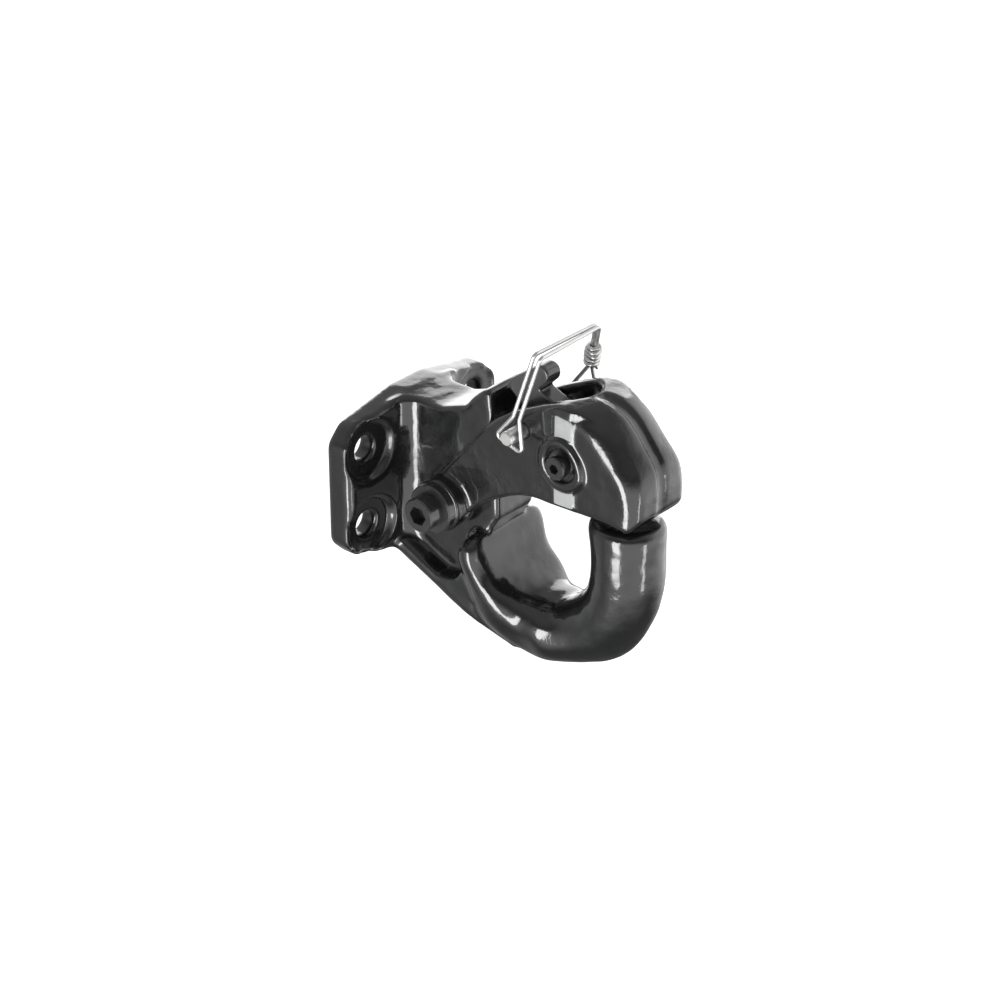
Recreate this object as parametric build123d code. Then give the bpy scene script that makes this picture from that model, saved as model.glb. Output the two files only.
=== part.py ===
"""Pintle hook for towing a trailer by a lunette eye, in millimetres.

The origin is the middle of the bolt pattern on the back of the mounting plate. X points
forward to the horn, Y to the left side of the hook and Z up. Lengths along X in the functions
start at the plate's front face, and the last step moves every piece forward by the plate.
"""
from build123d import *
from math import atan2, copysign, cos, hypot, pi, radians, sin
import os

# Mounting plate
plate_thick = 16
plate_wide = 121
plate_high = 91
plate_side = 58
shoulder_in = 9
shoulder_high = 76
crown_wide = 24
plate_corner = 7
plate_edge = 3
bolt_across = 85.725
bolt_up = 44.45
bolt_hole = 14.3
spot_face = 34
spot_deep = 4.5

# Web, ridge and lower flange of the hook casting
web_half = 15
web_root = 11
ridge_x = 54
ridge_top = 64.5
saddle_z = 44.4
face_x = 62
flange_half = 25
flange_thick = 10
flange_drop = 25
pivot_boss_in = 1

# Round hook and horn
hook_x = 87.8
hook_z = -18.2
throat_r = 29.5
horn_r = 19.3
horn_top = 12
horn_round = 5
horn_lip = 1.6
lobe_half = 30
lobe_rim = 7
lobe_deep = 15.5

# Latch casting
side_gap = 0.5
cheek = 7
nose_x = 157
nose_round = 9.5
nose_from = 117
latch_top = 76.4
latch_under = 17.2
latch_edge = 2.5
strip_wide = 12.6
strip_high = 0.8
groove_wide = 7
groove_deep = 1.3
slot_end = 113.5
slot_low_end = 124
slot_step = 60
slot_corner = 4

# Latch pivot: half-inch socket head screw through a bush in the web
pivot_x = 34
pivot_z = -2.8
eye_r = 14.7
eye_out = 9
pivot_r = 6.35
pivot_play = 0.05
bush_wall = 3
collar_r = 13.5
collar_thick = 5
pivot_head_r = 9.5
pivot_head_out = 9.4
pivot_head_sunk = 3.3
pivot_socket = 9.5
thrust_r = 13
thrust_play = 0.1
nut_across = 19
nut_thick = 11
ring_thick = 3

# Lock lever and its bolt
lever_x = 111
lever_z = 44.2
lever_half = 5.5
lever_hub_r = 9
lever_bolt_r = 4
lever_play = 0.06
lever_boss_r = 14.7
lever_boss_out = 3
counterbore_r = 9.6
counterbore_deep = 3.7
lever_head_r = 6.2
lever_head_high = 8
lever_socket = 5
spacer_r = 6.6
spring_wire = 1.3
spring_turns = 4
tab_x = 82
tab_z = 77.8
tab_half = 5.4
lift_gap = 0.6

# Lock pin and wire bail
pin_x = 84.5
pin_z = 54.5
pin_r = 4
pin_play = 0.08
pin_tip = 13
pin_collar_r = 6.5
pin_collar_thick = 2.5
pin_knob_r = 5
pin_knob_long = 6.5
wire_r = 1.1
wire_gap = 4
bail_long = 49.5
bail_lean = 16.5
bail_near_out = 8.5
bail_near_top = 28
bail_far_top = 20
eye_half = 9
far_eye_high = 21
wrap_turns = 5
wrap_pitch = 2.7

latch_gap_half = web_half + side_gap
latch_half = latch_gap_half + cheek
eye_face = latch_half + eye_out
boss_face = latch_half + lever_boss_out


def side_face(edges):
    """A face in the XZ plane from edges whose points are given as (x, z)."""
    return make_face([edge.rotate(Axis.X, 90) for edge in edges])


def across(face, half):
    """The face of a side view made into a solid that reaches as far to both sides."""
    return extrude(face, amount=half, dir=(0, 1, 0), both=True)


def rod(radius, x, z, y_from, y_to):
    """A round bar that runs across the hook."""
    bar = Cylinder(radius, abs(y_to - y_from)).rotate(Axis.X, 90)
    return Pos(x, (y_from + y_to) / 2, z) * bar


def hex_bar(across_flats, x, z, y_from, y_to):
    """A hexagonal bar that runs across the hook."""
    hexagon = RegularPolygon(across_flats / 2, 6, major_radius=False)
    bar = extrude(hexagon, amount=abs(y_to - y_from) / 2, both=True).rotate(Axis.X, 90)
    return Pos(x, (y_from + y_to) / 2, z) * bar


def mounting_plate():
    """The cast plate with its gabled outline, four bolt holes and their spot faces."""
    half_w = plate_wide / 2
    half_h = plate_high / 2
    quarter = [(half_w, plate_side / 2), (half_w - shoulder_in, shoulder_high / 2),
               (crown_wide / 2, half_h)]
    outline = quarter + [(-y, z) for y, z in reversed(quarter)]
    outline += [(-y, -z) for y, z in quarter] + [(y, -z) for y, z in reversed(quarter)]
    face = make_face(Polyline(*outline, close=True))
    face = fillet(face.vertices(), plate_corner)
    plate = extrude(face, amount=plate_thick)
    plate = fillet(plate.faces().sort_by(Axis.Z)[-1].edges(), plate_edge)
    for y in (-bolt_across / 2, bolt_across / 2):
        for z in (-bolt_up / 2, bolt_up / 2):
            plate -= Pos(y, z, plate_thick / 2) * Cylinder(bolt_hole / 2, 2 * plate_thick)
            plate -= Pos(y, z, plate_thick) * Cylinder(spot_face / 2, 2 * spot_deep)
    stand = Plane(origin=(-plate_thick, 0, 0), x_dir=(0, 1, 0), z_dir=(1, 0, 0))
    return stand * plate


def web_and_ridge():
    """The thick web that carries the pivot, with the ridge that the lever locks behind."""
    low = flange_top_z(0) - flange_thick / 2
    lip = hook_z + 10
    top = [(-plate_edge, saddle_z + 0.6), (21.6, saddle_z), (ridge_x - 14.6, saddle_z + 6.3)]
    ridge = [(ridge_x - 10, ridge_top - 7.5), (ridge_x - 3, ridge_top - 1.2), (ridge_x, ridge_top),
             (ridge_x + 3.2, ridge_top - 1.6)]
    front = [(face_x - 4, ridge_top - 8), (face_x, 2), (face_x, lip), (face_x - 4, lip - 6),
             (hook_x - throat_r - 4, hook_z - 4), (hook_x - 18, hook_z - throat_r - 8)]
    back = [(hook_x - 34, flange_top_z(hook_x - 34) - 4), (-plate_edge, low)]
    outline = make_face(Polyline(*(top + ridge + front + back), close=True).rotate(Axis.X, 90))
    web = across(outline, plate_wide / 2)
    flare = web_half + web_root
    plan = [Line((-plate_edge, -flare), (0, -flare)),
            RadiusArc((0, -flare), (web_root, -web_half), web_root),
            Line((web_root, -web_half), (hook_x, -web_half)),
            Line((hook_x, -web_half), (hook_x, web_half)),
            Line((hook_x, web_half), (web_root, web_half)),
            RadiusArc((web_root, web_half), (0, flare), web_root),
            Line((0, flare), (-plate_edge, flare)),
            Line((-plate_edge, flare), (-plate_edge, -flare))]
    return web & extrude(make_face(plan), amount=plate_high * 1.5, both=True)


def flange_top_z(x):
    """The height of the lower flange's upper face at a distance from the plate."""
    return -plate_high / 2 + flange_thick + 1.5 - (flange_drop - 1) * x / 50


def lower_flange():
    """The diagonal flange under the web, wider than the web, that runs into the round hook."""
    reach = hook_x - 12
    start = -plate_edge
    points = [(start, flange_top_z(0)), (reach, flange_top_z(reach)),
              (reach, flange_top_z(reach) - flange_thick), (start, flange_top_z(0) - flange_thick)]
    flange = across(make_face(Polyline(*points, close=True).rotate(Axis.X, 90)), flange_half)
    long_edges = flange.edges().filter_by(lambda e: e.length > reach)
    flange = fillet(long_edges, flange_thick * 0.3)
    tip = flange_half * 0.7
    plan = [(2 * start, flange_half + 1), (reach * 0.55, flange_half + 1), (reach + 1, tip),
            (reach + 1, -tip), (reach * 0.55, -flange_half - 1), (2 * start, -flange_half - 1)]
    return flange & extrude(make_face(Polyline(*plan, close=True)), amount=plate_high * 1.5, both=True)


def section_points(half, inner, outer, deep, square):
    """Points round one cross-section as (sideways, outward from the middle of the throat)."""
    points = []
    for step in range(16):
        turn = 2 * pi * (step + 0.5) / 16
        side = copysign(abs(cos(turn)) ** (2 / square), cos(turn))
        lift = copysign(abs(sin(turn)) ** (2 / square), sin(turn))
        reach = deep if lift < 0 else outer - inner - deep
        points.append((half * side, inner + deep + reach * lift))
    return points


def round_hook():
    """The throat and its outer side: wide and flat where the eye bears, round at the horn."""
    stations = [(178, 0.55, 0.3, 3), (182, 0.88, 0.7, 3.2), (189, 1, 1, 3.4), (207, 1, 1.28, 3.2),
                (229, 0.96, 1.75, 2.9), (251, 0.88, 2.2, 2.6), (276, 0.78, 2.42, 2.2)]
    sections = []
    for angle, wide, depth, square in stations:
        blend = min(1, max(0, (angle - 225) / 80))
        inner = throat_r + (1 - min(1, depth)) * lobe_rim * 0.6
        deep = lobe_rim * min(1, depth) * (1 - blend) + horn_r * blend
        points = section_points(lobe_half * wide, inner, throat_r + lobe_deep * depth, deep, square)
        sections.append(hook_section(angle, points))
    thick = 2 * horn_r
    for angle in (305, 332, 360):
        sections.append(hook_section(angle, section_points(horn_r, throat_r, throat_r + thick, horn_r, 2)))
    for z, lip in ((hook_z + 10, 0), (horn_top - 12, horn_lip), (horn_top, horn_lip)):
        points = section_points(horn_r, throat_r - lip, throat_r + thick, horn_r + lip, 2)
        loop = Spline(*[(hook_x + r, y, z) for y, r in points], periodic=True)
        sections.append(make_face(loop))
    hook = loft(sections)
    return fillet(hook.edges().sort_by(Axis.Z)[-1], horn_round)


def hook_section(angle, points):
    """A cross-section stood square to the arc at an angle round the throat."""
    up = radians(angle)
    loop = [(hook_x + r * cos(up), y, hook_z + r * sin(up)) for y, r in points]
    return make_face(Spline(*loop, periodic=True))


def hook_body():
    """The whole hook casting, with the cross bore for the pivot bush."""
    body = mounting_plate() + web_and_ridge() + lower_flange() + round_hook()
    bore = pivot_r + pivot_play + bush_wall
    body -= rod(bore, pivot_x, pivot_z, -web_half - 1, web_half + 1)
    for side in (-1, 1):
        inner = side * (web_half - pivot_boss_in)
        body -= rod(eye_r + 1, pivot_x, pivot_z, inner, side * (web_half + 1))
    return body


def pivot_bush():
    """The bush pressed into the web, in which the pivot screw turns."""
    half = web_half - pivot_boss_in
    bush = rod(pivot_r + pivot_play + bush_wall, pivot_x, pivot_z, -half, half)
    return bush - rod(pivot_r + pivot_play, pivot_x, pivot_z, -half - 1, half + 1)


def latch_outline():
    """The side view of the latch: an eye at the pivot, a long back and a hooked nose."""
    top = [(pivot_x - 6, pivot_z + 13.4), (pivot_x + 13.8, pivot_z + 37.8), (72, 59.3),
           (92.4, latch_top - 6.4), (nose_from, latch_top)]
    under = [(nose_x - 6, latch_under), (nose_x - 16, latch_under + 1.6), (122, latch_under + 1.2),
             (103, latch_under + 0.7), (88, latch_under - 0.3), (70, latch_under - 7.2),
             (pivot_x + 14, pivot_z - 4)]
    edges = [Spline(*top, tangents=[(0.62, 0.78), (1, 0)]),
             nose_bow(),
             Line(nose_bow() @ 1, (nose_x - 0.6, latch_under + 7)),
             Line((nose_x - 0.6, latch_under + 7), under[0]),
             Spline(*under),
             Line(under[-1], top[0])]
    return side_face(edges)


def nose_bow():
    """The curve over the nose in the side view, from the top of the back down to the front."""
    bow = [(nose_from, latch_top), (nose_x - 20, latch_top - 5.9), (nose_x - 7.5, latch_top - 20),
           (nose_x, latch_top - 42)]
    return Spline(*bow, tangents=[(1, 0), (0, -1)])


def behind_bow(room):
    """All that lies below and behind the nose's bow, pushed out a little or pulled in."""
    low = -plate_high
    back = nose_from + room
    front = nose_x + room
    edges = [Line((back, low), (back, latch_top + room)),
             nose_bow().translate((room, room)),
             Line((front, latch_top - 42 + room), (front, low)),
             Line((front, low), (back, low))]
    return across(side_face(edges), latch_half + max(room, 0))


def rounded_nose():
    """Room for the latch whose corners turn from sharp at the slot to fully round at the front."""
    play = 0.1
    nose = behind_bow(play)
    corners = nose.edges().filter_by(lambda e: abs(abs(e.center().Y) - latch_half - play) < 0.01)
    corners = corners.filter_by(lambda e: e.center().X > nose_from + 5 and e.center().Z > -plate_high)
    nose = fillet(corners, nose_round)
    out, inner = plate_wide, latch_half - nose_round
    plan = [(-out, out), (nose_from - 3, out), (nose_from - 3, latch_half + 0.7), (nose_x - 16, inner),
            (nose_x - 16, -inner), (nose_from - 3, -latch_half - 0.7), (nose_from - 3, -out), (-out, -out)]
    return nose + extrude(make_face(Polyline(*plan, close=True)), amount=2 * latch_top, both=True)


def latch():
    """The latch casting: two cheeks over the web, closed by a solid nose over the horn."""
    x, z = pivot_x, pivot_z
    body = across(latch_outline(), latch_half)
    side_edges = body.edges().filter_by(lambda e: abs(abs(e.center().Y) - latch_half) < 0.1)
    body = fillet(side_edges.filter_by(lambda e: e.center().X > x + eye_r), latch_edge)
    body &= rounded_nose()
    groove = Pos(nose_x, 0, latch_top) * Box(2 * (nose_x - nose_from), groove_wide, 110)
    body -= groove - behind_bow(-groove_deep)
    strip_low, strip_top = latch_under + 3.4, latch_top - 6
    strip = Box(strip_wide, 2 * (latch_half + strip_high), strip_top - strip_low)
    body += Pos(lever_x + 1, 0, (strip_low + strip_top) / 2) * strip
    body += rod(eye_r, x, z, -eye_face, eye_face)
    body += rod(lever_boss_r, lever_x, lever_z, -boss_face, boss_face)
    body -= latch_slot()
    body -= rod(pivot_r, x, z, -eye_face - 1, eye_face + 1)
    body -= rod(lever_bolt_r, lever_x, lever_z, -boss_face - 1, boss_face + 1)
    for side in (-1, 1):
        floor = side * (boss_face - counterbore_deep)
        body -= rod(counterbore_r, lever_x, lever_z, floor, side * (boss_face + 1))
    return body - rod(pin_r + pin_play, pin_x, pin_z, -latch_half - 1, latch_half + 1)


def latch_slot():
    """The slot between the cheeks, open above and below: rounded at the top, square inside."""
    wide = 2 * latch_gap_half
    back = pivot_x - 2 * eye_r
    tall = 2 * latch_top
    round_long = slot_end - latch_gap_half - back
    upper = Pos(back + round_long / 2, 0, 0) * Box(round_long, wide, tall)
    upper += Pos(slot_end - latch_gap_half, 0, 0) * Cylinder(latch_gap_half, tall)
    low_long = slot_low_end - back
    low = Box(low_long, wide, tall)
    low = fillet(low.edges().filter_by(Axis.Z).group_by(Axis.X)[-1], slot_corner)
    low = Pos(back + low_long / 2, 0, slot_step - tall / 2) * low
    return upper + low


def pivot_bolt():
    """The socket head screw that the latch turns on."""
    x, z = pivot_x, pivot_z
    under_head = -(eye_face + collar_thick - pivot_head_sunk)
    head_end = under_head - pivot_head_sunk - pivot_head_out
    tail = eye_face + collar_thick + nut_thick + 3
    head = rod(pivot_head_r, x, z, head_end, under_head)
    head = chamfer(head.edges().sort_by(Axis.Y)[0], 0.8)
    shank = chamfer(rod(pivot_r, x, z, under_head, tail).edges().sort_by(Axis.Y)[-1], 1.2)
    return head + shank - hex_bar(pivot_socket, x, z, head_end - 1, head_end + 6.5)


def pivot_collar(side):
    """The collar between the eye of the latch and the screw's head or nut."""
    x, z = pivot_x, pivot_z
    collar = rod(collar_r, x, z, side * eye_face, side * (eye_face + collar_thick))
    collar = chamfer(collar.edges().filter_by(GeomType.CIRCLE).sort_by(Axis.Y)[0 if side < 0 else -1], 0.8)
    collar -= rod(pivot_r, x, z, side * (eye_face - 1), side * (eye_face + collar_thick + 1))
    if side < 0:
        seat = eye_face + collar_thick - pivot_head_sunk
        collar -= rod(pivot_head_r, x, z, -seat, -(eye_face + collar_thick + 1))
    return collar


def thrust_washer(side):
    """The thin washer between the web and a cheek at the pivot."""
    x, z = pivot_x, pivot_z
    inner = web_half - pivot_boss_in + thrust_play
    washer = rod(thrust_r, x, z, side * inner, side * latch_gap_half)
    return washer - rod(pivot_r, x, z, side * (inner - 1), side * (latch_gap_half + 1))


def lock_nut(across_flats, thick, bolt_r, x, z, seat):
    """A hexagon lock nut on the left side, with the round neck that holds its nylon ring."""
    nut = hex_bar(across_flats, x, z, seat, seat + thick - ring_thick)
    limit = rod(across_flats * 0.56, x, z, seat, seat + thick - ring_thick)
    nut &= chamfer(limit.edges().filter_by(GeomType.CIRCLE), across_flats * 0.04)
    nut += rod(across_flats * 0.45, x, z, seat + thick - ring_thick, seat + thick)
    nut -= rod(across_flats * 0.37, x, z, seat + thick - ring_thick + 0.5, seat + thick + 1)
    return nut - rod(bolt_r, x, z, seat - 1, seat + thick + 1)


def nylon_ring(across_flats, thick, bolt_r, x, z, seat):
    """The nylon ring in the neck of a lock nut."""
    ring = rod(across_flats * 0.37, x, z, seat + thick - ring_thick + 0.5, seat + thick - 0.4)
    return ring - rod(bolt_r, x, z, seat, seat + thick + 1)


def lever_outline():
    """The side view of the lock lever: hub, body with a ramped toe, and a finger tab."""
    rise = (0.767 * tab_half, 0.641 * tab_half)
    toe = (60, 66.1)
    heel = (75, 53.7)
    tab_top = (tab_x - rise[1], tab_z + rise[0])
    tab_low = (tab_x + rise[1], tab_z - rise[0])
    points = [(lever_x - 2, lever_z + lever_hub_r - 0.2), (93, 64.5), (81.5, 69.6), tab_low]
    tip = (tab_x + 0.767 * tab_half, tab_z + 0.641 * tab_half)
    edges = [Polyline(*points), ThreePointArc(tab_low, tip, tab_top),
             Polyline(tab_top, (62.5, 70.6), toe, heel, (93, 45.5),
                      (lever_x - 2, lever_z - lever_hub_r + 0.2), points[0])]
    return side_face(edges)


def lock_lever():
    """The lever between the cheeks, whose toe stands over the ridge and holds the latch shut."""
    body = across(lever_outline(), lever_half)
    body = fillet(body.edges().filter_by(lambda e: e.center().Z > tab_z - 7), 1.2)
    body += rod(lever_hub_r, lever_x, lever_z, -lever_half, lever_half)
    bore = lever_bolt_r + lever_play
    body -= rod(bore, lever_x, lever_z, -lever_half - 1, lever_half + 1)
    return body - pin_notch()


def pin_notch():
    """The curved notch that lets the lever lift off the lock pin, open at the bottom."""
    reach = hypot(lever_x - pin_x, pin_z - lever_z)
    start = atan2(pin_z - lever_z, pin_x - lever_x)
    stop = start + radians(26)
    room = pin_r + lift_gap
    outer, inner = reach + room, reach - room

    def spot(radius, turn):
        return (lever_x + radius * cos(turn), lever_z + radius * sin(turn))

    middle = (start + stop) / 2
    edges = [ThreePointArc(spot(outer, start), spot(outer, middle), spot(outer, stop)),
             Line(spot(outer, stop), spot(inner, stop)),
             ThreePointArc(spot(inner, stop), spot(inner, middle), spot(inner, start)),
             Line(spot(inner, start), spot(outer, start))]
    notch = across(side_face(edges), lever_half + 1)
    return notch + rod(room, pin_x, pin_z, -lever_half - 1, lever_half + 1)


def lever_bolt():
    """The smaller socket head screw through the nose, on which the lock lever turns."""
    x, z = lever_x, lever_z
    seat = -(boss_face - counterbore_deep)
    head = chamfer(rod(lever_head_r, x, z, seat - lever_head_high, seat).edges().sort_by(Axis.Y)[0], 0.6)
    tail = boss_face - counterbore_deep + 10.5
    shank = chamfer(rod(lever_bolt_r, x, z, seat, tail).edges().sort_by(Axis.Y)[-1], 0.8)
    top = seat - lever_head_high
    return head + shank - hex_bar(lever_socket, x, z, top - 1, top + 4)


def spacer(side):
    """The tube that keeps the lever in the middle of the slot, on its screw."""
    start = side * (lever_half + 0.2)
    end = side * latch_gap_half
    tube = rod(spacer_r, lever_x, lever_z, start, end)
    return tube - rod(lever_bolt_r, lever_x, lever_z, start - side, end + side)


def lock_pin():
    """The plain pin through both cheeks, with a collar and a cross-drilled knob on the left."""
    x, z = pin_x, pin_z
    start = latch_half + 0.3
    knob = start + pin_collar_thick + pin_knob_long
    body = chamfer(rod(pin_r, x, z, -latch_half - pin_tip, start).edges().sort_by(Axis.Y)[0], 0.7)
    body += rod(pin_collar_r, x, z, start, start + pin_collar_thick)
    end = rod(pin_knob_r, x, z, start + pin_collar_thick, knob)
    body += chamfer(end.edges().filter_by(GeomType.CIRCLE).sort_by(Axis.Y)[-1], 1)
    hole = Cylinder(wire_r + 0.02, 4 * pin_knob_r).rotate(Axis.Y, 90 + bail_lean)
    return body - Pos(x, far_eye_y(), z) * hole


def far_eye_y():
    """How far out the wire passes through the knob of the pin."""
    return latch_half + 0.3 + pin_collar_thick + pin_knob_long / 2


def bail_point(up, forward, y):
    """A point of the bail, by its height over the pin along the lean and its place across it."""
    lean = radians(bail_lean)
    x = pin_x + up * sin(lean) + forward * cos(lean)
    return (x, y, pin_z + up * cos(lean) - forward * sin(lean))


def bail_wire():
    """The wire, bent double into a loop: round the pin's tip, over the top, through its knob."""
    near = -latch_half - bail_near_out
    near_top = -bail_near_top
    far = far_eye_y()
    half = wire_gap / 2
    pinch = wire_r + 0.05
    far_leg = (far - bail_far_top) / bail_long
    far_neck = far - far_leg * far_eye_high
    route = []
    for side in (-1, 1):
        strand = [bail_point(-pin_r - wire_r - pin_play, side * eye_half, near),
                  bail_point(11.5, side * half, near),
                  bail_point(bail_long, side * half, near_top),
                  bail_point(bail_long, side * pinch, bail_far_top),
                  bail_point(far_eye_high, side * pinch, far_neck),
                  bail_point(0, side * (eye_half + 1), far)]
        route.append(strand)
    points = route[0] + list(reversed(route[1]))
    bends = [2.2, 3, 2.4, 2.4, 3, 2.2]
    loop = FilletPolyline(*points, radius=bends + bends[::-1], close=True)
    start = loop @ 0
    return sweep(Plane(origin=start, z_dir=loop % 0) * Circle(wire_r), path=loop, transition=Transition.ROUND)


def bail_wrap():
    """The two ends of the wire, wound tightly round the left leg of the bail."""
    far_leg = (far_eye_y() - bail_far_top) / bail_long
    low = far_eye_high + wrap_turns * wrap_pitch * 0.15
    start = Vector(*bail_point(low, 0, far_eye_y() - far_leg * low))
    end = Vector(*bail_point(bail_long, 0, bail_far_top))
    coil_r = 3 * wire_r + 0.1
    coil = Helix(wrap_pitch, wrap_turns * wrap_pitch, coil_r)
    wrap = sweep(Plane(origin=coil @ 0, z_dir=coil % 0) * Circle(wire_r), path=coil, is_frenet=True)
    return Plane(origin=start, z_dir=end - start) * wrap


def lever_spring():
    """The coil spring round the left spacer that turns the lever back down."""
    coil_r = spacer_r + spring_wire / 2 + 0.3
    pitch = spring_wire * 1.25
    coil = Helix(pitch, spring_turns * pitch, coil_r)
    wire = sweep(Plane(origin=coil @ 0, z_dir=coil % 0) * Circle(spring_wire / 2), path=coil, is_frenet=True)
    return Pos(lever_x, lever_half + spring_wire, lever_z) * wire.rotate(Axis.X, -90)


def body_pieces():
    """Every piece of the hook by its name."""
    boss_seat = boss_face - counterbore_deep
    nut_seat = eye_face + collar_thick
    small_nut = 12.7
    return {
        "hook_body": hook_body(),
        "pivot_bush": pivot_bush(),
        "latch": latch(),
        "pivot_bolt": pivot_bolt(),
        "pivot_collar_right": pivot_collar(-1),
        "pivot_collar_left": pivot_collar(1),
        "thrust_washer_right": thrust_washer(-1),
        "thrust_washer_left": thrust_washer(1),
        "pivot_nut": lock_nut(nut_across, nut_thick, pivot_r, pivot_x, pivot_z, nut_seat),
        "pivot_nut_ring": nylon_ring(nut_across, nut_thick, pivot_r, pivot_x, pivot_z, nut_seat),
        "lock_lever": lock_lever(),
        "lever_bolt": lever_bolt(),
        "lever_spacer_right": spacer(-1),
        "lever_spacer_left": spacer(1),
        "lever_nut": lock_nut(small_nut, 8, lever_bolt_r, lever_x, lever_z, boss_seat),
        "lever_nut_ring": nylon_ring(small_nut, 8, lever_bolt_r, lever_x, lever_z, boss_seat),
        "lock_pin": lock_pin(),
        "bail_wire": bail_wire(),
        "bail_wrap": bail_wrap(),
        "lever_spring": lever_spring(),
    }


if __name__ == "__main__":
    os.makedirs("parts", exist_ok=True)
    for name, shape in body_pieces().items():
        placed = Pos(plate_thick, 0, 0) * shape
        export_step(placed, f"parts/{name}.step")
        print(name, len(shape.solids()), round(shape.volume))
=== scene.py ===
import math

import bmesh
import bpy
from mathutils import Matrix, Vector, noise


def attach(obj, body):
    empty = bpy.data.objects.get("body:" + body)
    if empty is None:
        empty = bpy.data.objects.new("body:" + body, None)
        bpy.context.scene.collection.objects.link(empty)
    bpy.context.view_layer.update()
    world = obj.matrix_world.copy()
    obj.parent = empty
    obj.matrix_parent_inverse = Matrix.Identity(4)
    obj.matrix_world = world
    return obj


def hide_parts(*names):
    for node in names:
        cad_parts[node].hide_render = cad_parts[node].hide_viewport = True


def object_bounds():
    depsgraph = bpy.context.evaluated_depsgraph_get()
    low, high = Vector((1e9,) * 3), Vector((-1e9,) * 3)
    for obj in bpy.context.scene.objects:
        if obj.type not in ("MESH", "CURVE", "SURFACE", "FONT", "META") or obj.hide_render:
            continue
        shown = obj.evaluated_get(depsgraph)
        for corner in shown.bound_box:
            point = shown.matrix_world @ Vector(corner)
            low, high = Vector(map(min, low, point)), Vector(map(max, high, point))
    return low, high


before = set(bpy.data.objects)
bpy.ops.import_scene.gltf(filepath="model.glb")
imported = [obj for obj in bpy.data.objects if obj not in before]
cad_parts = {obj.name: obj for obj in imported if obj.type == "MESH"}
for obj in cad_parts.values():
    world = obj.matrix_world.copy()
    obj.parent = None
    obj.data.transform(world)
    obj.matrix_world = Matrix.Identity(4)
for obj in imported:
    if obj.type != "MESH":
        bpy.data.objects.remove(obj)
cad_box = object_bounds()

# Camera
# The hook is seen from its right front and from above, as a product shot with a long lens.
# The aim is the point of the hook that lies in the middle of the picture.
view_azimuth, view_elevation = math.radians(40), math.radians(28.5)
view_aim = Vector((0.0671, 0, -0.0063))
view_distance = 1.55
pixels_per_metre = 1905
camera = bpy.data.objects.new("camera", bpy.data.cameras.new("camera"))
bpy.context.scene.collection.objects.link(camera)
back_to_eye = Vector((math.sin(view_azimuth) * math.cos(view_elevation),
                      -math.cos(view_azimuth) * math.cos(view_elevation), math.sin(view_elevation)))
camera.location = view_aim + view_distance * back_to_eye
camera.rotation_euler = back_to_eye.to_track_quat("Z", "Y").to_euler()
camera.data.sensor_width = 36
camera.data.lens = 36 * pixels_per_metre * view_distance / 1000
camera.data.clip_start = 0.05
bpy.context.scene.camera = camera


# Studio light
# Soft lamps round the hook in a dark room: two upright strips whose reflections draw the edges
# of the black paint, and a wide panel behind that lights the top and the throat.
def lamp(name, azimuth, elevation, distance, wide, high, glow):
    """A soft rectangular lamp that faces the hook, with its brightness as seen in a mirror."""
    light = bpy.data.lights.new(name, "AREA")
    light.shape = "RECTANGLE"
    light.size, light.size_y = wide, high
    light.energy = glow * math.pi * wide * high
    stand = bpy.data.objects.new(name, light)
    bpy.context.scene.collection.objects.link(stand)
    turn, rise = math.radians(azimuth), math.radians(elevation)
    level = math.cos(rise)
    reach = Vector((math.cos(turn) * level, math.sin(turn) * level, math.sin(rise)))
    stand.location = view_aim + distance * reach
    stand.rotation_euler = reach.to_track_quat("Z", "Y").to_euler()
    stand.visible_camera = False


bpy.context.scene.view_settings.view_transform = "Standard"
lamp("strip_left", -86, -10, 1.1, 0.40, 0.86, 9)
lamp("strip_right", -6, -20, 1.1, 0.14, 0.5, 5)
lamp("back_panel", 130, 11, 1.2, 1.0, 0.86, 1.8)


class Socket:
    """A value in a node tree, so that the maths of a finish reads as plain sums."""

    def __init__(self, tree, out):
        self.tree, self.out = tree, out

    def math(self, operation, *others):
        node = self.tree.nodes.new("ShaderNodeMath")
        node.operation = operation
        for index, value in enumerate((self, *others)):
            if isinstance(value, Socket):
                self.tree.links.new(value.out, node.inputs[index])
            else:
                node.inputs[index].default_value = value
        return Socket(self.tree, node.outputs[0])

    def __add__(self, other):
        return self.math("ADD", other)

    def __mul__(self, other):
        return self.math("MULTIPLY", other)

    def __sub__(self, other):
        return self.math("SUBTRACT", other)

    def __rsub__(self, other):
        return (self * -1) + other

    __radd__, __rmul__ = __add__, __mul__

    def between(self, low, high):
        """0 below low and 1 above high, with a soft step between."""
        node = self.tree.nodes.new("ShaderNodeMapRange")
        node.interpolation_type = "SMOOTHSTEP"
        self.tree.links.new(self.out, node.inputs["Value"])
        node.inputs["From Min"].default_value = low
        node.inputs["From Max"].default_value = high
        return Socket(self.tree, node.outputs["Result"])


def part_of(tree, vector):
    """The three parts of a vector as sockets of their own."""
    node = tree.nodes.new("ShaderNodeSeparateXYZ")
    tree.links.new(vector, node.inputs[0])
    return [Socket(tree, out) for out in node.outputs]


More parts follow.
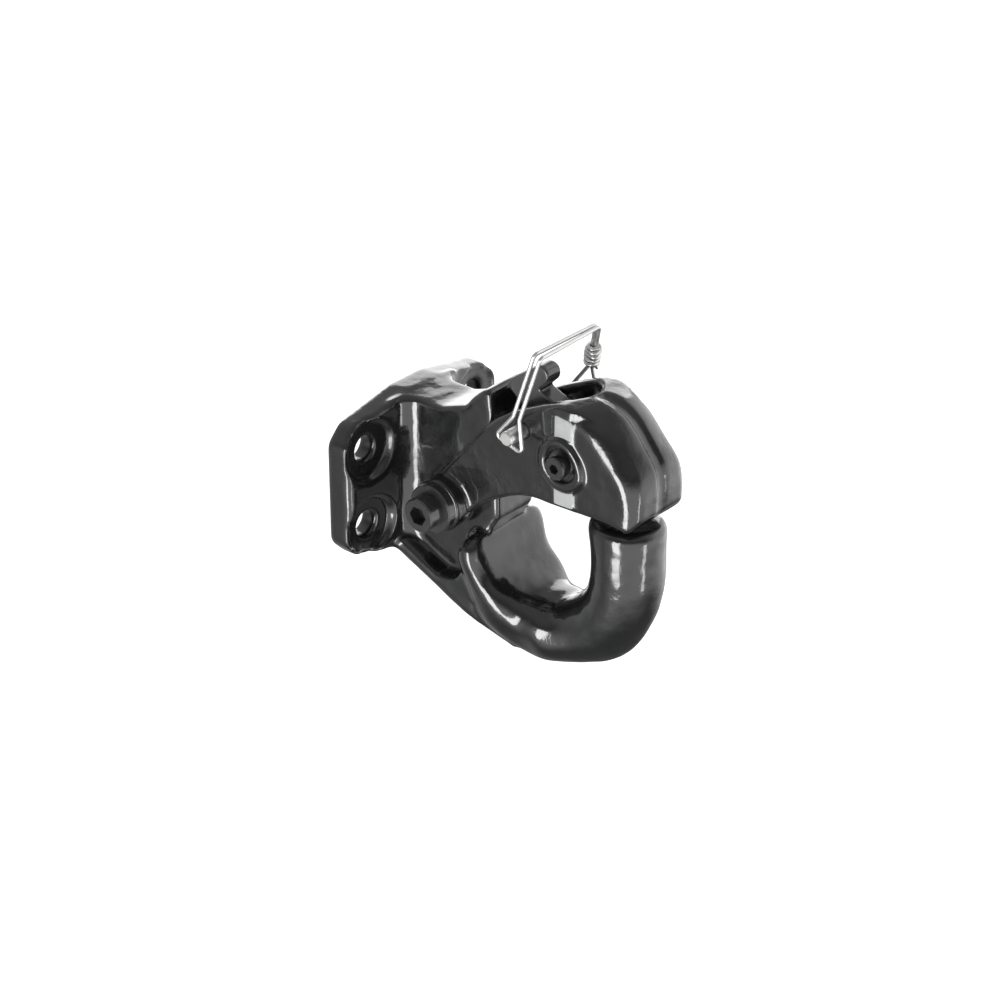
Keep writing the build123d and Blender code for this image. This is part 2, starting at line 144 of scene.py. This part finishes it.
# Surround
# The dim room that the paint mirrors: brightest low down in front of the hook, where a lit
# table would be, and low down beyond it, darker to the sides, and dark grey above.
surround = bpy.data.worlds.new("surround")
bpy.context.scene.world = surround
surround.use_nodes = True
room = surround.node_tree
x_way, y_way, z_way = part_of(room, room.nodes.new("ShaderNodeTexCoord").outputs["Generated"])
frontal = x_way * 0.64 - y_way * 0.77
above_feet = 1 - z_way.between(-0.5, -0.95)
below_eyes = 1 - z_way.between(-0.15, 0.45)
table = frontal.between(0.0, 0.75) * below_eyes * above_feet * 1.2
far_side = x_way * 0.45 + y_way * 0.89
far_wall = far_side.between(0.35, 0.9) * z_way.between(-0.75, -0.4) * 1.2
wall_behind_plate = x_way.between(-0.3, -0.95) * 0.35
ceiling = z_way.between(0.3, 0.9) * 0.25
glow = table + far_wall + ceiling + wall_behind_plate + 0.1
room.nodes["Background"].inputs["Color"].default_value = (1, 1, 1, 1)
room.links.new(glow.out, room.nodes["Background"].inputs["Strength"])


# Floor
# A plain white floor below the hook, lit until it is as white as the paper of a catalogue. It
# neither shows in the paint nor lights the hook from below.
floor_mesh = bpy.data.meshes.new("floor")
floor_half = 30
floor_z = cad_box[0][2] - 0.12
floor_corners = [(x * floor_half, y * floor_half, floor_z)
                 for x, y in ((-1, -1), (1, -1), (1, 1), (-1, 1))]
floor_mesh.from_pydata(floor_corners, [], [(0, 1, 2, 3)])
floor = bpy.data.objects.new("floor", floor_mesh)
bpy.context.scene.collection.objects.link(floor)
floor.visible_glossy = floor.visible_diffuse = floor.visible_shadow = False


class Finish:
    """A material under construction, with the Principled shader at its end."""

    def __init__(self, name, **plain):
        self.material = bpy.data.materials.new(name)
        self.material.use_nodes = True
        self.tree = self.material.node_tree
        self.shader = self.tree.nodes["Principled BSDF"]
        self.place = Socket(self.tree, self.node("ShaderNodeTexCoord").outputs["Object"])
        for socket, value in plain.items():
            self.shader.inputs[socket.replace("_", " ")].default_value = value

    def node(self, kind, settings=None, **inputs):
        """A node with its settings made first, and then its inputs set or linked."""
        node = self.tree.nodes.new(kind)
        for key, value in (settings or {}).items():
            setattr(node, key, value)
        for key, value in inputs.items():
            socket = node.inputs[key.replace("_", " ")]
            if isinstance(value, Socket):
                self.tree.links.new(value.out, socket)
            else:
                socket.default_value = value
        return node

    def noise(self, scale, detail=2, rough=0.5):
        """Fractal noise whose lumps are about one over scale metres wide."""
        node = self.node("ShaderNodeTexNoise", Vector=self.place, Scale=scale, Detail=detail,
                         Roughness=rough)
        return Socket(self.tree, node.outputs["Fac"])

    def cells(self, scale):
        """The distance to the nearest of many scattered points."""
        node = self.node("ShaderNodeTexVoronoi", Vector=self.place, Scale=scale)
        return Socket(self.tree, node.outputs["Distance"])

    def blend(self, factor, first, second):
        """One colour turning into another."""
        node = self.node("ShaderNodeMix", {"data_type": "RGBA"})
        self.tree.links.new(factor.out, node.inputs["Factor"])
        for index, value in ((6, first), (7, second)):
            if isinstance(value, Socket):
                self.tree.links.new(value.out, node.inputs[index])
            else:
                node.inputs[index].default_value = (*value, 1)
        return Socket(self.tree, node.outputs[2])

    def edges(self):
        """How far the surface sticks out: above a half on outer edges, below it in corners."""
        return Socket(self.tree, self.node("ShaderNodeNewGeometry").outputs["Pointiness"])

    def bump(self, height, depth):
        """Raises the surface by a height that is given as 0 to 1 and scaled to metres."""
        last = self.shader.inputs["Normal"]
        node = self.node("ShaderNodeBump", Height=height, Distance=depth, Strength=1.0)
        if last.is_linked:
            self.tree.links.new(last.links[0].from_socket, node.inputs["Normal"])
        self.tree.links.new(node.outputs["Normal"], last)

    def feed(self, **inputs):
        """Links what changes over the surface to the shader."""
        for key, value in inputs.items():
            self.tree.links.new(value.out, self.shader.inputs[key.replace("_", " ")])
        return self.material


def paint(obj, material):
    """Gives an object one material."""
    obj.data.materials.clear()
    obj.data.materials.append(material)
    return obj


floor_finish = Finish("floor_paint", Roughness=0.8, Emission_Color=(1, 1, 1, 1),
                      Emission_Strength=0.93)
floor_haze = floor_finish.blend(floor_finish.noise(3), (0.5, 0.5, 0.5), (0.56, 0.56, 0.56))
paint(floor, floor_finish.feed(Base_Color=floor_haze))


# Hook casting
# One iron casting: plate, web, flange, round throat and horn. Sand cast with soft edges and
# dipped in gloss black paint, which lies thick in the corners and draws long highlights.
def black_paint(name, tone, gloss, crust, seed, pads=None):
    """Gloss black dipped paint over a sand-cast surface, thin and grey where it pulled away.

    Crust is how far the sand's grain stands out, in metres. Pads marks as 1 the flats that get a
    pale painted reflection.
    """
    finish = Finish(name, Specular_IOR_Level=0.5, Coat_Roughness=0.07, Coat_IOR=1.5)
    lumps = finish.noise(38 + seed)
    orange_peel = finish.noise(120 + seed, 3, 0.6)
    grain = finish.noise(260 + seed, 4, 0.62)
    pits = finish.cells(420 + seed)
    patch = finish.noise(24 + seed, 3, 0.6).between(0.52, 0.64)
    dust = finish.noise(700, 3, 0.7)
    finish.bump(lumps, 0.0010)
    finish.bump(orange_peel, crust * 1.6)
    finish.bump(grain * (patch * 0.6 + 0.4), crust * 1.3)
    finish.bump(pits * patch, crust * 0.35)
    worn = finish.edges().between(0.53, 0.6) * finish.noise(90, 4, 0.7).between(0.45, 0.6)
    base = finish.blend(dust, tuple(0.75 * c for c in tone), tuple(1.25 * c for c in tone))
    colour = finish.blend(worn * 0.5, base, tuple(c + 0.025 for c in tone))
    rough = patch * 0.16 + dust * 0.08 + gloss
    coat = patch * -0.3 + 1
    if pads:
        flat = pads(finish)
        # The pads are painted a pale grey, mottled a little: a painted reflection of the lamps in
        # the flat faces.
        mottled_painted_reflection = flat * (finish.noise(130, 3, 0.6) * 0.3 + 0.8)
        colour = finish.blend(mottled_painted_reflection, colour, (0.42, 0.43, 0.43))
        rough = rough + flat * 0.25
        coat = coat - flat * 0.7
    return finish.feed(Base_Color=colour, Roughness=rough, Coat_Weight=coat)


def prism(outline, y_from, y_to):
    """A solid block whose side view is the outline, given in millimetres from the plate's back."""
    block = bmesh.new()
    low = [block.verts.new((x / 1000, y_from / 1000, z / 1000)) for x, z in outline]
    top = [block.verts.new((x / 1000, y_to / 1000, z / 1000)) for x, z in outline]
    block.faces.new(low)
    block.faces.new(reversed(top))
    for index in range(len(outline)):
        after = (index + 1) % len(outline)
        block.faces.new((low[after], low[index], top[index], top[after]))
    bmesh.ops.recalc_face_normals(block, faces=block.faces)
    mesh = bpy.data.meshes.new("prism")
    block.to_mesh(mesh)
    block.free()
    return mesh


def cast_copy(node, voxel, rounds, uneven, name, fills=()):
    """A node's shape as one even skin, with the soft edges and waves that a sand mould leaves.

    Voxel is the skin's fineness and uneven the height of its waves, in metres. Rounds says how
    far the edges are softened. The fills are meshes that become one with the node's.
    """
    solid = bmesh.new()
    for mesh in (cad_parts[node].data, *fills):
        solid.from_mesh(mesh)
    raw = bpy.data.meshes.new(name)
    solid.to_mesh(raw)
    solid.free()
    skin = bpy.data.objects.new(name, raw)
    bpy.context.scene.collection.objects.link(skin)
    for share in (0.6, 0.4):
        remesh = skin.modifiers.new("skin", "REMESH")
        remesh.mode = "VOXEL"
        remesh.voxel_size = voxel
        soften = skin.modifiers.new("soften", "SMOOTH")
        soften.factor = 0.5
        soften.iterations = round(rounds * share)
    graph = bpy.context.evaluated_depsgraph_get()
    mesh = bpy.data.meshes.new_from_object(skin.evaluated_get(graph))
    skin.modifiers.clear()
    skin.data = mesh
    shifts = []
    for vertex in mesh.vertices:
        wave = noise.noise(vertex.co * 55) + 0.5 * noise.noise(vertex.co * 150 + Vector((3, 1, 2)))
        near_flat_back = min(1, abs(vertex.co.x) * 80)
        shifts.append(vertex.normal * wave * uneven * near_flat_back)
    for vertex, shift in zip(mesh.vertices, shifts):
        vertex.co += shift
    mesh.shade_smooth()
    return skin


# Where the flange meets the round throat, the mould fills the corner to a rounded pocket end.
plate_thick = 16
corner = [(plate_thick + ahead, height) for ahead, height in
          ((30, -49), (40, -47.5), (45, -38), (52, -44), (52, -62), (40, -57))]
corner_fills = [prism(corner, -24.5, -10), prism(corner, 10, 24.5)]
hook_paint = black_paint("hook_paint", (0.011, 0.0114, 0.0117), 0.1, 0.00022, 0)
hook = cast_copy("hook_body", 0.0010, 30, 0.00028, "hook_casting", corner_fills)
paint(hook, hook_paint)
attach(hook, "hook")
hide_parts("hook_body")


# Latch casting
# A second casting with two cheeks over the web and a solid nose over the horn. Rougher than
# the hook, with an upright flat pad on each cheek that the ring of the small screw cuts in two;
# the pads' pale grey is a painted reflection.
cheek_y, pad_face_y = 0.02285, 0.0243
pad_x, pad_z = 0.1280, 0.0455
pad_half_wide, pad_half_high = 0.0062, 0.0252
screw_x, screw_z, ring_r = 0.1270, 0.0442, 0.0152


def pads_with_painted_reflection(finish):
    """1 on the flat pads above and below the small screw's ring, which get a pale painted
    reflection, and 0 elsewhere.
    """
    x, y, z = part_of(finish.tree, finish.place.out)
    off_cheek = y.math("ABSOLUTE")
    on_face = off_cheek.between(cheek_y, cheek_y + 0.0002) * off_cheek.between(pad_face_y, 0.0240)
    from_x, from_z = x - screw_x, z - screw_z
    off_ring = (from_x * from_x + from_z * from_z).between(ring_r ** 2, (ring_r + 0.0003) ** 2)
    wide = (x - pad_x).math("ABSOLUTE").between(pad_half_wide, pad_half_wide - 0.0003)
    high = (z - pad_z).math("ABSOLUTE").between(pad_half_high, pad_half_high - 0.0004)
    return on_face * off_ring * wide * high


latch_paint = black_paint("latch_paint", (0.0105, 0.0108, 0.0111), 0.09, 0.00030, 3, pads_with_painted_reflection)
latch = cast_copy("latch", 0.0008, 16, 0.00024, "latch_casting")


def step(value, low, high):
    """0 below low and 1 above high, with a soft step between."""
    share = min(1, max(0, (value - low) / (high - low)))
    return share * share * (3 - 2 * share)


# The shoulders of the nose fall away to both sides, as a pattern is drawn from the sand.
shoulder_drop, shoulder_tuck = 0.0042, 0.0034
for vertex in latch.data.vertices:
    x, y, z = vertex.co
    fall = step(x, 0.120, 0.155) * step(z, 0.028, 0.062) * step(abs(y), 0.004, 0.025)
    vertex.co.z -= shoulder_drop * fall
    vertex.co.x -= shoulder_tuck * fall
paint(latch, latch_paint)
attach(latch, "latch")
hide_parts("latch")


# Lock lever
# A small iron casting between the cheeks, with a rounded tab that a finger lifts. It turns on
# the small screw, and its paint is duller than the latch's.
# Its base tone, about five times the latch's, is painted light that brightens the lever in the
# shade of the slot.
lever_paint = black_paint("lever_paint", (0.055, 0.056, 0.057), 0.2, 0.00015, 5)
lever = paint(cast_copy("lock_lever", 0.0006, 6, 0.00012, "lever_casting"), lever_paint)
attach(lever, "lever")
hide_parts("lock_lever")


# Screws, collars and nuts
# Machined socket screws under the same black paint, and zinc plated lock nuts with nylon
# rings on the left side.
# Its base tone, twice the hook's, is painted light that lifts the shaded sides of the collars.
screw_paint = black_paint("screw_paint", (0.022, 0.0222, 0.0225), 0.16, 0.00006, 9)
for node in ("pivot_bolt", "lever_bolt", "pivot_collar_right", "pivot_collar_left"):
    paint(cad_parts[node], screw_paint)


def metal(name, colour, rough, scale, depth, metallic=1.0):
    """A bare or plated metal with fine drawing marks and small stains."""
    finish = Finish(name, Metallic=metallic)
    fine = finish.noise(scale, 4, 0.65)
    stain = finish.noise(scale * 0.12, 3, 0.6)
    finish.bump(fine, depth)
    tint = finish.blend(stain, tuple(0.72 * c for c in colour), colour)
    return finish.feed(Base_Color=tint, Roughness=fine * 0.15 + stain * 0.12 + rough)


zinc = metal("bright_zinc", (0.86, 0.86, 0.85), 0.24, 900, 0.00003)
bronze = metal("bronze", (0.55, 0.36, 0.17), 0.3, 1500, 0.00002)
nylon = metal("nylon", (0.72, 0.74, 0.78), 0.4, 600, 0.00002, 0.0)
steel = metal("spring_steel", (0.33, 0.33, 0.34), 0.25, 1200, 0.00002)
for node in ("pivot_nut", "lever_nut", "lever_spacer_right", "lever_spacer_left"):
    paint(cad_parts[node], zinc)
for node in ("pivot_bush", "thrust_washer_right", "thrust_washer_left"):
    paint(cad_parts[node], bronze)
for node in ("pivot_nut_ring", "lever_nut_ring"):
    paint(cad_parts[node], nylon)
paint(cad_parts["lever_spring"], steel)


# Lock pin and wire bail
# A zinc plated pin, and one zinc plated wire bent double round its tip and through its knob,
# whose two ends are wound round the left leg.
for node in ("lock_pin", "bail_wire"):
    paint(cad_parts[node], zinc)

# The wrap is wound by hand with pliers, so its turns lean and crowd.
turns_off_line = 0.0011
wound = bpy.data.objects.new("hand_wound_wrap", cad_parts["bail_wrap"].data.copy())
bpy.context.scene.collection.objects.link(wound)
for vertex in wound.data.vertices:
    spot = vertex.co * 170
    lean = [noise.noise(spot + Vector((away, 0, away))) for away in (0, 11, 23)]
    vertex.co += Vector(lean) * turns_off_line
paint(wound, zinc)
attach(wound, "bail")
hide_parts("bail_wrap")
